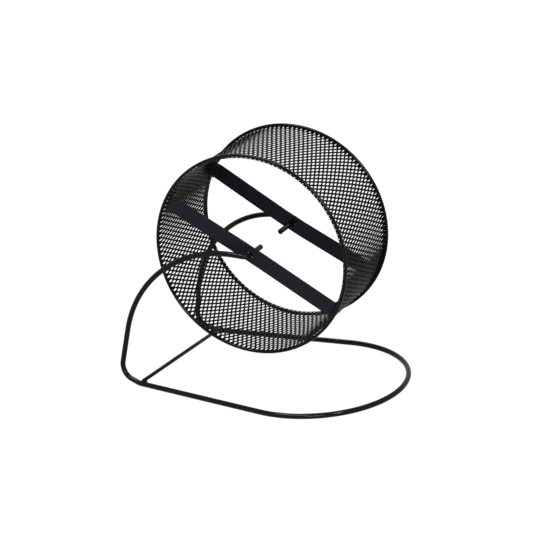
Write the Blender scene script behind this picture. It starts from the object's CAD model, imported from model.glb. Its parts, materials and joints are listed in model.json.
import json
import math

import bmesh
import bpy
from mathutils import Matrix, Vector


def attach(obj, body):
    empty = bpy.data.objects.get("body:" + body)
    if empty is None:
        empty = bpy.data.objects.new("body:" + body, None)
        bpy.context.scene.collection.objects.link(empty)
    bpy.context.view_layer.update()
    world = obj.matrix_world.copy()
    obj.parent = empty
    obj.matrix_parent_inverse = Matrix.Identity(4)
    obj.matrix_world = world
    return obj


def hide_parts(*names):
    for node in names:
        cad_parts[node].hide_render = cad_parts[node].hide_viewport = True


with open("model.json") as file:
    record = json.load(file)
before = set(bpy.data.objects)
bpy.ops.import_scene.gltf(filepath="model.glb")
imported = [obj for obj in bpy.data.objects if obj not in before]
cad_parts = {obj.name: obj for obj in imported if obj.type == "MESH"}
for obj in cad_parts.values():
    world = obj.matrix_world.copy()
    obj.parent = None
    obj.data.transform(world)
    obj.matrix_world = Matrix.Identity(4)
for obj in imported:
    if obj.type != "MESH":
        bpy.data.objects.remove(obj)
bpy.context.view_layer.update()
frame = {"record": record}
mm = 0.001
axle = Vector(frame["record"]["behaviour"]["joints"][0]["pos_m"])  # middle of the wheel
print("frame loaded, axle at", [round(n, 4) for n in axle])


# camera, matched to the photograph
view = {
    "azimuth": 26.948,      # degrees, 0 looks along the axle from the near side
    "elevation": 20.186,
    "roll": 4.676,
    "distance": 1986.6,     # mm from the point it looks at
    "aim": (-5.56, 0, 110.18),  # mm, from the floor below the middle of the wheel
    "focalPixels": 2046.1,  # focal length in pixels of the 540 pixel frame
    "imagePixels": 540,
    "sensor": 36,           # mm
    "clip": (0.05, 60),     # metres, the nearest and farthest that it sees
}


def makeCamera():
    turn, tilt, roll = (math.radians(view[k]) for k in ("azimuth", "elevation", "roll"))
    back = Vector((math.sin(turn) * math.cos(tilt), -math.cos(turn) * math.cos(tilt), math.sin(tilt)))
    level = Vector((math.cos(turn), math.sin(turn), 0))
    down = (-back).cross(level)
    right = level * math.cos(roll) + down * math.sin(roll)
    up = level * math.sin(roll) - down * math.cos(roll)
    aim = Vector((axle.x, axle.y, 0)) + Vector(view["aim"]) * mm
    data = bpy.data.cameras.new("photoCamera")
    data.sensor_width = view["sensor"]
    data.lens = view["focalPixels"] * view["sensor"] / view["imagePixels"]
    data.clip_start, data.clip_end = view["clip"]
    camera = bpy.data.objects.new("photoCamera", data)
    camera.matrix_world = Matrix.Translation(aim + back * view["distance"] * mm) @ Matrix(
        (right, up, back)).transposed().to_4x4()
    bpy.context.collection.objects.link(camera)
    bpy.context.scene.camera = camera


makeCamera()
print("camera set")


def hexLinear(code):
    # sRGB hex to linear
    parts = [int(code[i:i + 2], 16) / 255 for i in (1, 3, 5)]
    return [p / 12.92 if p <= 0.04045 else ((p + 0.055) / 1.055) ** 2.4 for p in parts] + [1]


def addNode(tree, kind, settings=None, links=None):
    # adds a node, sets its sockets or its own settings, and links its inputs
    made = tree.nodes.new(kind)
    for name, value in (settings or {}).items():
        if isinstance(name, int) or name in made.inputs:
            made.inputs[name].default_value = value
        else:
            setattr(made, name, value)
    for name, source in (links or {}).items():
        tree.links.new(source, made.inputs[name])
    return made


def perMetre(size):
    # pattern scale that gives features of this size in mm
    return 1 / (size * mm)


def powderCoat(name, look):
    # powder-coated steel: melted powder leaves a soft gloss over a fine orange peel
    # patch is a stretch of thinner coat, peel one wave of its surface and grain one grain of powder, in mm;
    # a real grain of about 0.05 mm is too fine to show, so it is drawn 8 or 9 times coarser
    material = bpy.data.materials.new(name)
    material.use_nodes = True
    tree = material.node_tree
    tree.nodes.clear()
    place = addNode(tree, "ShaderNodeTexCoord").outputs["Object"]
    patches = addNode(tree, "ShaderNodeTexNoise", {"Scale": perMetre(look["patch"]), "Detail": 3},
                      {"Vector": place})
    tone = addNode(tree, "ShaderNodeMix", {
        "data_type": "RGBA", 6: hexLinear(look["colour"]), 7: hexLinear(look["thinCoat"])},
        {0: patches.outputs["Fac"]})
    low, high = look["roughness"] - look["roughnessSpread"], look["roughness"] + look["roughnessSpread"]
    gloss = addNode(tree, "ShaderNodeMapRange", {
        "From Min": 0.3, "From Max": 0.7, "To Min": low, "To Max": high},  # most of the noise's range
        {"Value": patches.outputs["Fac"]})
    peel = addNode(tree, "ShaderNodeTexNoise", {"Scale": perMetre(look["peel"]), "Detail": 2},
                   {"Vector": place})
    grains = addNode(tree, "ShaderNodeTexNoise", {"Scale": perMetre(look["grain"]), "Detail": 1},
                     {"Vector": place})
    depth = look["peelDepth"] * mm
    peelBump = addNode(tree, "ShaderNodeBump", {"Strength": look["peelStrength"], "Distance": depth},
                       {"Height": peel.outputs["Fac"]})
    grainBump = addNode(tree, "ShaderNodeBump", {
        "Strength": look["peelStrength"], "Distance": depth / 3},  # grains are a third as deep
        {"Height": grains.outputs["Fac"], "Normal": peelBump.outputs["Normal"]})
    shader = addNode(tree, "ShaderNodeBsdfPrincipled", {"IOR": 1.5, "Specular IOR Level": look["shine"]}, {
        "Base Color": tone.outputs[2], "Roughness": gloss.outputs["Result"],
        "Normal": grainBump.outputs["Normal"]})
    addNode(tree, "ShaderNodeOutputMaterial", None, {"Surface": shader.outputs["BSDF"]})
    return material


def addPiece(name, shape, material, body, nodes=(), sharpFrom=180):
    # a finished mesh becomes a piece of the wheel or of its stand; edges of sharpFrom degrees stay crisp
    bmesh.ops.recalc_face_normals(shape, faces=shape.faces)
    mesh = bpy.data.meshes.new(name)
    shape.to_mesh(mesh)
    shape.free()
    mesh.materials.append(material)
    mesh.shade_smooth()
    if sharpFrom < 180:
        mesh.set_sharp_from_angle(angle=math.radians(sharpFrom))
    piece = bpy.data.objects.new(name, mesh)
    bpy.context.collection.objects.link(piece)
    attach(piece, body)
    if nodes:
        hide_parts(*nodes)
    print("made", name, len(mesh.polygons), "faces")
    return piece


def sweepTube(shape, path, radii, sides, closed=False):
    # rings carried along a path without twisting, and a cap on each open end
    count = len(path)
    turns = [2 * math.pi * k / sides for k in range(sides)]
    rings, across, before = [], None, None
    for i, point in enumerate(path):
        after = path[(i + 1) % count] if closed else path[min(i + 1, count - 1)]
        ahead = (after - (path[i - 1] if closed or i else point)).normalized()
        if across is None:
            across = ahead.orthogonal().normalized()
        else:
            across = before.rotation_difference(ahead) @ across
        across = (across - ahead * across.dot(ahead)).normalized()
        before = ahead
        other = ahead.cross(across)
        spokes = [across * math.cos(t) + other * math.sin(t) for t in turns]
        rings.append([shape.verts.new(point + spoke * radii[i]) for spoke in spokes])
    for i in range(count if closed else count - 1):
        one, two = rings[i], rings[(i + 1) % count]
        for k in range(sides):
            shape.faces.new((one[k], one[(k + 1) % sides], two[(k + 1) % sides], two[k]))
    if not closed:
        shape.faces.new(rings[0])
        shape.faces.new(rings[-1])
    return rings


# the stand's one wire: pin, arm, leg, toe, floor loop and back again, in mm and degrees
# side -1 is the near side and 1 the far side
standWire = {
    "thickness": 5.3,
    "axleHeight": 144,
    "turn": -5,                 # of the stand under the wheel, seen from above
    "loopHalfWidth": 87.5,      # beside the axle
    "loopFlare": 6.5,           # by which each side of the loop opens towards its round end
    "loopReach": 127.5,         # from the axle to the tip of the round end
    "cornerBack": 145,          # from the axle back to the corners below the arms
    "cornerBend": 14,
    "toeRise": 6.6,             # from the floor up to the corners
    "toeBend": 20,
    "toeBack": 121.5,           # from the axle back to where the wire leaves the floor
    "armStraight": 10,
    "armOut": 56.7,             # from the middle of the wheel out to the arm, at the hub
    "pinBend": 6,
    "lean": {-1: 15, 1: 9},     # of the legs, towards the hub
    "fall": {-1: 6.2, 1: 3.8},  # of the arms, towards the hub
    "pinTip": {-1: 26, 1: 17},  # from the middle of the wheel out to the pin's tip
    "tipChamfer": 0.6,
    "tipSlant": 0.5,            # the shears left the tips a little out of square
    "arcStep": 3,               # between rings on a bend
    "sides": 24,
}
underHub = Vector((axle.x, axle.y, 0)) / mm


def standPoint(x, y, z):
    # from the stand's own axes to the wheel's
    return Matrix.Rotation(math.radians(standWire["turn"]), 3, "Z") @ Vector((x, y, z))


def loopPoint(side, x, z):
    # on the line of one flared side of the loop
    out = standWire["loopHalfWidth"] + math.tan(math.radians(standWire["loopFlare"])) * x
    return standPoint(x, side * out, z)


def roundedPath(corners, bends, step):
    # straight lengths joined by round bends
    path = [corners[0]]
    for (before, corner, after), radius in zip(zip(corners, corners[1:], corners[2:]), bends):
        one, two = (corner - before).normalized(), (after - corner).normalized()
        turn = one.angle(two)
        start = corner - one * radius * math.tan(turn / 2)
        centre = start + (two - one * one.dot(two)).normalized() * radius
        count = max(2, math.ceil(math.degrees(turn) / step))
        spin = one.cross(two).normalized()
        for k in range(count + 1):
            path.append(centre + Matrix.Rotation(turn * k / count, 3, spin) @ (start - centre))
    path.append(corners[-1])
    return path


def halfOfStand(side, loopStart):
    # from the tip of one pin down to the start of the loop's round end
    height, rest = standWire["axleHeight"], standWire["thickness"] / 2
    lean, fall = (math.radians(standWire[k][side]) for k in ("lean", "fall"))
    tip = Vector((0, side * standWire["pinTip"][side], height))
    hub = Vector((0, side * standWire["armOut"], height))
    corner = loopPoint(side, -standWire["cornerBack"], rest + standWire["toeRise"])
    away = Vector((corner.x - hub.x, corner.y - hub.y, 0))
    run = (away.length * math.cos(lean) - (height - corner.z) * math.sin(lean)) / math.cos(lean - fall)
    shoulder = hub + away.normalized() * run * math.cos(fall) + Vector((0, 0, run * math.sin(fall)))
    toe = loopPoint(side, -standWire["toeBack"], rest)
    longTurn = (shoulder - hub).angle(corner - shoulder)
    longBend = ((shoulder - hub).length - standWire["armStraight"]) / math.tan(longTurn / 2)
    bends = (standWire["pinBend"], longBend, standWire["cornerBend"], standWire["toeBend"])
    return roundedPath([tip, hub, shoulder, corner, toe, loopStart], bends, standWire["arcStep"])


def makeStandWire(material):
    flare = math.radians(standWire["loopFlare"])
    middle = (standWire["loopReach"] - standWire["loopHalfWidth"] * math.cos(flare)) / (1 + math.sin(flare))
    radius, rest = standWire["loopReach"] - middle, standWire["thickness"] / 2
    half = math.pi / 2 + flare
    count = math.ceil(math.degrees(2 * half) / standWire["arcStep"])
    bow = [standPoint(middle + radius * math.cos(a), radius * math.sin(a), rest)
           for a in (-half + 2 * half * k / count for k in range(count + 1))]
    near, far = halfOfStand(-1, bow[0]), halfOfStand(1, bow[-1])
    chamfer, inward = standWire["tipChamfer"], Vector((0, 1, 0))
    path = [near[0], near[0] - inward * chamfer] + near[1:-1] + bow
    path += far[-2:0:-1] + [far[0] + inward * chamfer, far[0]]
    radii = [rest] * len(path)
    radii[0] = radii[-1] = rest - chamfer
    shape = bmesh.new()
    rings = sweepTube(shape, [(p + underHub) * mm for p in path], [r * mm for r in radii],
                      standWire["sides"])
    for ring, back in ((rings[0], -inward), (rings[-1], inward)):
        lowest, highest = min(v.co.z for v in ring), max(v.co.z for v in ring)
        for v in ring:
            v.co += back * standWire["tipSlant"] * mm * (v.co.z - lowest) / (highest - lowest)
    addPiece("standWire", shape, material, "stand",
             ("floor_loop", "near_arm", "far_arm", "near_pin", "far_pin"), sharpFrom=40)


# semi-gloss black powder coat on drawn steel wire: near black, with one soft light line along each wire
wireCoat = powderCoat("powderCoatedSteelWire", {
    "colour": "#070607", "thinCoat": "#0a090a", "roughness": 0.12, "roughnessSpread": 0.008, "shine": 0.1,
    "patch": 14, "peel": 1.6, "grain": 0.45, "peelStrength": 0.1, "peelDepth": 0.05})
makeStandWire(wireCoat)


# the thinner wire across the back of the loop, and a weld at each end, in mm
crossBrace = {
    "thickness": 3.9,
    "back": 117,          # from the axle
    "sink": 1,            # depth to which the weld lets it into the stand's wire
    "endRound": 0.5,
    "weldLength": 3.9,    # these three are half sizes
    "weldWidth": 2,
    "weldHeight": 1.3,
    "weldLumps": 0.12,    # share by which its surface is uneven
    "weldInset": 1.5,     # from the brace's end to the middle of the weld
    "weldSink": 0.45,     # of the weld's middle below the top of the stand's wire
    "sides": 20,
}


def makeWeld(name, centre, along, material):
    # a small bead of melted steel in the corner between two wires
    shape = bmesh.new()
    bmesh.ops.create_icosphere(shape, subdivisions=3, radius=1)
    sizes = [crossBrace[k] * mm for k in ("weldLength", "weldWidth", "weldHeight")]
    turn = Matrix((along, Vector((0, 0, 1)).cross(along), Vector((0, 0, 1)))).transposed()
    for v in shape.verts:
        lump = 1 + crossBrace["weldLumps"] * math.sin(5 * v.co.x + 2 * v.co.z) * math.cos(4 * v.co.y)
        v.co = centre + turn @ Vector(n * size * lump for n, size in zip(v.co, sizes))
    addPiece(name, shape, material, "stand")


def makeCrossBrace(material):
    rest = standWire["thickness"] + crossBrace["thickness"] / 2 - crossBrace["sink"]
    ends = [(loopPoint(side, -crossBrace["back"], rest) + underHub) * mm for side in (-1, 1)]
    along = (ends[1] - ends[0]).normalized()
    radius, soft = crossBrace["thickness"] / 2 * mm, crossBrace["endRound"] * mm
    steps = (0, 0.3, 1)   # of the rounding at each cut end
    path = [ends[0] + along * soft * s for s in steps]
    path += [ends[1] - along * soft * s for s in reversed(steps)]
    radii = [radius - soft * (1 - math.sqrt(1 - (1 - s) ** 2)) for s in steps]
    shape = bmesh.new()
    sweepTube(shape, path, radii + radii[::-1], crossBrace["sides"])
    addPiece("crossBrace", shape, material, "stand", ("cross_brace",), sharpFrom=40)
    wireTop = standWire["thickness"] * mm
    for name, end, side in (("nearBraceWeld", ends[0], 1), ("farBraceWeld", ends[1], -1)):
        seat = Vector((end.x, end.y, wireTop - crossBrace["weldSink"] * mm))
        seat += along * side * crossBrace["weldInset"] * mm
        makeWeld(name, seat, Vector((along.y, -along.x, 0)), material)


makeCrossBrace(wireCoat)


# wire rims round both ends of the drum, in mm
rimWire = {
    "outerDiameter": 200,
    "thickness": 3.2,     # at the butt weld, where it is thickest
    "apart": 100,
    "ringPoints": 288,
    "sides": 20,
    "buttWeld": 0.12,     # swelling where the ends of the wire meet
    "buttLength": 3,
    "buttAngle": 205,     # degrees round the wheel
}


def makeRim(name, node, side, material):
    radius = (rimWire["outerDiameter"] - rimWire["thickness"]) / 2
    angles = [2 * math.pi * k / rimWire["ringPoints"] for k in range(rimWire["ringPoints"])]
    path, radii = [], []
    for a in angles:
        place = Vector((radius * math.cos(a), side * rimWire["apart"] / 2, radius * math.sin(a)))
        path.append(axle + place * mm)
        off = (a - math.radians(rimWire["buttAngle"])) * radius / rimWire["buttLength"]
        swell = rimWire["buttWeld"] * math.exp(-off * off)
        radii.append((rimWire["thickness"] - rimWire["buttWeld"] + swell) / 2 * mm)
    shape = bmesh.new()
    sweepTube(shape, path, radii, rimWire["sides"], closed=True)
    addPiece(name, shape, material, "wheel", (node,))


# the same coat on the rims' thinner wire: near black, and a little duller
rimCoat = powderCoat("powderCoatedRimWire", {
    "colour": "#060506", "thinCoat": "#090809", "roughness": 0.12, "roughnessSpread": 0.008, "shine": 0.08,
    "patch": 11, "peel": 1.4, "grain": 0.45, "peelStrength": 0.1, "peelDepth": 0.05})
makeRim("nearRim", "near_rim", -1, rimCoat)
makeRim("farRim", "far_rim", 1, rimCoat)


# expanded steel mesh: slit, stretched sheet whose strands stand at a slant, in mm
drumMesh = {
    "around": 127,          # openings round the drum
    "pitchAcross": 10.2,    # between openings in line across it, with a staggered one between them
    "shiftAcross": 2.85,    # the band is cut from its sheet beside the middles of the openings
    "width": 102,
    "middleRadius": 96.0,
    "edgeRadius": 96.42,    # at its two edges, where it is pressed against the rims
    "edgeBand": 2.5,        # width over which the band widens towards the rims
    "sheet": 0.75,          # thickness
    "openHalfAround": 1.15,
    "openHalfAcross": 3.4,
    "openByRim": 0.5,       # share of their width that coat and weld leave to openings beside the rims
    "openRoundness": 1.2,   # 1 is a sharp diamond, 2 an oval
    "slant": -16,           # degrees
    "bondHalf": 0.2,        # from the middle of a joint out to the middle of a strand
    "bondSide": (0, 1, -1),  # side of its joint on which a strand lies, by sixth of the pitch
    "sharpFrom": 75,        # degrees
}


def makeDrumMesh(material):
    pitchAround = 2 * math.pi * drumMesh["middleRadius"] / drumMesh["around"]
    pitchAcross, halfWidth = drumMesh["pitchAcross"], drumMesh["width"] / 2
    columns = 6 * drumMesh["around"]
    slope = math.tan(math.radians(drumMesh["slant"]))
    half = drumMesh["sheet"] / 2 * math.cos(math.atan(slope))
    shape = bmesh.new()
    shared = {}

    def gridPlace(i, j):
        # way round and across the band, from sixths of the pitches
        return i * pitchAround / 6, j * pitchAcross / 6 + drumMesh["shiftAcross"]

    def newPair(u, v, off, strand):
        # two points, one on each face of the slanted sheet; off is the way from the strand's middle
        share = max(0, min(1, (halfWidth - abs(v)) / drumMesh["edgeBand"]))
        share = share * share * (3 - 2 * share)
        middle = drumMesh["middleRadius"] * share + drumMesh["edgeRadius"] * (1 - share)
        height = slope * (off + drumMesh["bondSide"][strand % 3] * drumMesh["bondHalf"])
        pair = []
        for face in (1, -1):
            radius = middle + height + face * half
            angle = (u - face * slope * half) / drumMesh["middleRadius"]
            place = Vector((radius * math.cos(angle), v, radius * math.sin(angle)))
            pair.append(shape.verts.new(axle + place * mm))
        return pair

    def borderPair(i, j):
        # on the middle of a strand, shared by the openings on both sides of it
        key = (i % columns, j)
        if key not in shared:
            shared[key] = newPair(*gridPlace(i, j), 0, i)
        return shared[key]

    # a diamond of sixths round the middle of an opening
    outline = [(3, 0), (2, 1), (1, 2), (0, 3), (-1, 2), (-2, 1),
               (-3, 0), (-2, -1), (-1, -2), (0, -3), (1, -2), (2, -1)]
    power = 1 / drumMesh["openRoundness"]
    rows = math.ceil(2 * halfWidth / pitchAcross)
    for row in range(-rows - 1, rows + 1):
        for column in range(drumMesh["around"]):
            i, j = 6 * column + 3 * (row % 2), 3 * row
            u, v = gridPlace(i, j)
            byRim = abs(v) > halfWidth - drumMesh["edgeBand"]
            openHalf = drumMesh["openHalfAround"] * (drumMesh["openByRim"] if byRim else 1)
            border = [borderPair(i + a, j + b) for a, b in outline]
            ring = []
            for a, b in outline:
                x = math.copysign((abs(a) / 3) ** power, a) * openHalf if a else 0
                y = math.copysign((abs(b) / 3) ** power, b) * drumMesh["openHalfAcross"] if b else 0
                ring.append(newPair(u + x, v + y, x - a * pitchAround / 6, a))
            for k in range(len(outline)):
                outer, inner = (border[k - 1], border[k]), (ring[k - 1], ring[k])
                shape.faces.new((outer[0][0], outer[1][0], inner[1][0], inner[0][0]))
                shape.faces.new((inner[0][0], inner[1][0], inner[1][1], inner[0][1]))
                shape.faces.new((inner[0][1], inner[1][1], outer[1][1], outer[0][1]))
    for side in (-1, 1):
        # the sheet sheared off along each edge of the band
        parts = shape.verts[:] + shape.edges[:] + shape.faces[:]
        bmesh.ops.bisect_plane(shape, geom=parts, dist=1e-7, plane_no=(0, side, 0), clear_outer=True,
                               plane_co=axle + Vector((0, side * halfWidth * mm, 0)))
        bmesh.ops.holes_fill(shape, edges=[e for e in shape.edges if e.is_boundary], sides=0)
    addPiece("meshBand", shape, material, "wheel", ("mesh_band",), drumMesh["sharpFrom"])


# thin powder coat on sheared strands of sheet steel: a warm black with hardly any shine
meshCoat = powderCoat("powderCoatedExpandedMesh", {
    "colour": "#0e0a08", "thinCoat": "#15100e", "roughness": 0.32, "roughnessSpread": 0.05, "shine": 0.01,
    "patch": 9, "peel": 1.1, "grain": 0.4, "peelStrength": 0.2, "peelDepth": 0.04})
makeDrumMesh(meshCoat)


# flat straps across the ends of the drum, in mm
strapShape = {
    "width": 16,
    "thickness": 1.5,
    "slope": 30,          # degrees, down towards the round end of the stand
    "dip": {-1: 2, 1: 5},  # into the drum at the hub, of the near and the far strap
    "halfSpan": 92.015,   # from the hub out to the start of the tab's bend
    "hubFlat": 24,
    "hubBend": 7,         # radius of the soft bends beside the hub
    "tabBend": 2.5,
    "tabLength": 10,
    "drumInside": 95.6,   # radius that the tabs are pressed against
    "holeMiddle": 3.5,    # radius in the middle of the collar's wall
    "collarHeight": 1.2,
    "collarBend": 1.15,
    "collarFlat": 1.2,    # ring that stays flat round the collar's bend
    "collarSteps": 5,     # on the bend
    "edgeRound": 0.4,
    "edgeSteps": 3,
    "edgeFrom": 50,       # degrees, edges sharper than this are rounded
    "patches": 8,         # faces across the width
    "arcStep": 6,         # degrees between rows on a bend
}


def strapLine(dip):
    # middle of the metal seen from its edge: way out from the hub, and depth into the drum
    corner = strapShape["halfSpan"] + strapShape["tabBend"]
    places = ((strapShape["width"] / 2, dip), (strapShape["hubFlat"] / 2, dip), (corner, 0),
              (corner, strapShape["tabLength"]))
    return roundedPath([Vector((out, depth, 0)) for out, depth in places],
                       (strapShape["hubBend"], strapShape["tabBend"]), strapShape["arcStep"])


def makeStrap(name, node, side, material):
    half, patches, dip = strapShape["width"] / 2, strapShape["patches"], strapShape["dip"][side]
    shape = bmesh.new()
    columns = [-half + strapShape["width"] * k / patches for k in range(patches + 1)]
    line = strapLine(dip)
    tabStart = strapShape["halfSpan"]
    middle = strapShape["drumInside"] - strapShape["thickness"] / 2
    grid = {}
    for end in (-1, 1):
        for row, point in enumerate(line):
            for column, c in enumerate(columns):
                x = point.x
                if x > tabStart:  # the tab follows the round of the drum
                    sag = (x - tabStart) / strapShape["tabBend"]
                    x += sag * (math.sqrt(middle ** 2 - c ** 2) - tabStart - strapShape["tabBend"])
                grid[end, row, column] = shape.verts.new((end * x, point.y, c))
        for row in range(len(line) - 1):
            for column in range(patches):
                corners = ((row, column), (row + 1, column), (row + 1, column + 1), (row, column + 1))
                shape.faces.new([grid[(end, *corner)] for corner in corners])
    # the square round the hub, drawn in to the collar
    square = [grid[1, 0, k] for k in range(patches + 1)]
    square += [shape.verts.new((columns[k], dip, half)) for k in range(patches - 1, 0, -1)]
    square += [grid[-1, 0, k] for k in range(patches, -1, -1)]
    square += [shape.verts.new((columns[k], dip, -half)) for k in range(1, patches)]
    hole, bend, steps = (strapShape[k] for k in ("holeMiddle", "collarBend", "collarSteps"))
    top = strapShape["thickness"] / 2 + strapShape["collarHeight"]
    rings = [(hole + bend + strapShape["collarFlat"], 0)]  # radius, and height over the strap
    rings += [(hole + bend * (1 - math.sin(a)), bend * (1 - math.cos(a)))
              for a in (math.pi / 2 * k / steps for k in range(steps + 1))]
    rings.append((hole, top))
    last = square
    for radius, out in rings:
        ring = []
        for v in square:
            turn = math.atan2(v.co.z, v.co.x)
            ring.append(shape.verts.new((radius * math.cos(turn), dip - out, radius * math.sin(turn))))
        for k in range(len(square)):
            n = (k + 1) % len(square)
            shape.faces.new((last[k], last[n], ring[n], ring[k]))
        last = ring
    place = Matrix.Translation(axle + Vector((0, side * rimWire["apart"] / 2 * mm, 0)))
    place = place @ Matrix.Rotation(math.radians(strapShape["slope"]), 4, "Y")
    place = place @ Matrix.Diagonal((mm, -side * mm, mm, 1))  # depth runs into the drum on both sides
    shape.transform(place)
    strap = addPiece(name, shape, material, "wheel", (node,))
    sheet = strap.modifiers.new("sheet", "SOLIDIFY")
    sheet.thickness = strapShape["thickness"] * mm
    sheet.offset = 0
    sheet.use_even_offset = True
    edges = strap.modifiers.new("roundedEdges", "BEVEL")
    edges.width = strapShape["edgeRound"] * mm
    edges.segments = strapShape["edgeSteps"]
    edges.limit_method = "ANGLE"
    edges.angle_limit = math.radians(strapShape["edgeFrom"])
    edges.harden_normals = True


# satin black powder coat on rolled steel strip: even, a little blue, with less shine than the wire
strapCoat = powderCoat("satinPowderCoatedStrip", {
    "colour": "#100f16", "thinCoat": "#13121a", "roughness": 0.44, "roughnessSpread": 0.05, "shine": 0.06,
    "patch": 18, "peel": 1.3, "grain": 0.4, "peelStrength": 0.3, "peelDepth": 0.05})
makeStrap("nearStrap", "near_strap", -1, strapCoat)
makeStrap("farStrap", "far_strap", 1, strapCoat)


# pale floor, white background and soft studio light
studio = {
    "floorHalf": 8,       # metres
    "floorColour": "#f4f4f4",
    "fibre": 3,           # mm, of the paper on the floor
    "fibreDepth": 0.1,    # mm
    "shadowShare": 0.06,  # share of the floor's own shading that shows, so its shadows stay faint
    "floorWhite": 1.06,   # brightness of the rest
    "fillLight": 0.25,    # of the white world, as it lights the wheel
    "lamps": (
        # name, place and size in metres, watts
        ("overheadSoftbox", (-0.3, -0.57, 1.65), (0.9, 0.13), 26),
        ("backSoftbox", (-0.46, 1.0, 1.35), (0.7, 0.18), 9),
        ("frontSoftbox", (0.38, -0.87, 0.4), (0.32, 0.16), 5),
        ("rightSoftbox", (1.0, -0.7, 1.25), (0.2, 0.6), 14),
    ),
}


def seenByEye(tree):
    # 1 for rays from the camera, from a gloss or through glass
    path = addNode(tree, "ShaderNodeLightPath")
    first = addNode(tree, "ShaderNodeMath", {"operation": "MAXIMUM"},
                    {0: path.outputs["Is Camera Ray"], 1: path.outputs["Is Glossy Ray"]})
    both = addNode(tree, "ShaderNodeMath", {"operation": "MAXIMUM"},
                   {0: first.outputs[0], 1: path.outputs["Is Transmission Ray"]})
    return both.outputs[0]


def makeStudio():
    shape = bmesh.new()
    bmesh.ops.create_grid(shape, x_segments=1, y_segments=1, size=studio["floorHalf"])
    mesh = bpy.data.meshes.new("studioFloor")
    shape.to_mesh(mesh)
    shape.free()
    floor = bpy.data.objects.new("studioFloor", mesh)
    bpy.context.collection.objects.link(floor)
    # matt white backdrop paper: plain white to the eye, with the wheel's faint shadow
    paper = bpy.data.materials.new("whitePaperFloor")
    paper.use_nodes = True
    tree = paper.node_tree
    tree.nodes.clear()
    place = addNode(tree, "ShaderNodeTexCoord").outputs["Object"]
    fibres = addNode(tree, "ShaderNodeTexNoise", {"Scale": perMetre(studio["fibre"])}, {"Vector": place})
    bump = addNode(tree, "ShaderNodeBump", {"Strength": 0.05, "Distance": studio["fibreDepth"] * mm},
                   {"Height": fibres.outputs["Fac"]})
    matt = addNode(tree, "ShaderNodeBsdfDiffuse", {"Color": hexLinear(studio["floorColour"])},
                   {"Normal": bump.outputs["Normal"]})
    white = addNode(tree, "ShaderNodeEmission", {"Strength": studio["floorWhite"]})
    share = addNode(tree, "ShaderNodeMath", {"operation": "MULTIPLY", 1: 1 - studio["shadowShare"]},
                    {0: seenByEye(tree)})
    mixed = addNode(tree, "ShaderNodeMixShader", None,
                    {0: share.outputs[0], 1: matt.outputs[0], 2: white.outputs[0]})
    addNode(tree, "ShaderNodeOutputMaterial", None, {"Surface": mixed.outputs[0]})
    mesh.materials.append(paper)

    world = bpy.data.worlds.new("whiteStudio")
    bpy.context.scene.world = world
    world.use_nodes = True
    tree = world.node_tree
    tree.nodes.clear()
    strength = addNode(tree, "ShaderNodeMapRange", {"To Min": studio["fillLight"], "To Max": 1.0},
                       {"Value": seenByEye(tree)})
    sky = addNode(tree, "ShaderNodeBackground", {"Color": (1, 1, 1, 1)},
                  {"Strength": strength.outputs["Result"]})
    addNode(tree, "ShaderNodeOutputWorld", None, {"Surface": sky.outputs[0]})

    for name, place, size, watts in studio["lamps"]:
        lamp = bpy.data.lights.new(name, "AREA")
        lamp.shape = "RECTANGLE"
        lamp.size, lamp.size_y = size
        lamp.energy = watts
        light = bpy.data.objects.new(name, lamp)
        light.location = place
        light.rotation_euler = (axle - Vector(place)).to_track_quat("-Z", "Y").to_euler()
        bpy.context.collection.objects.link(light)
    bpy.context.scene.view_settings.view_transform = "Standard"


makeStudio()
print("studio lit")
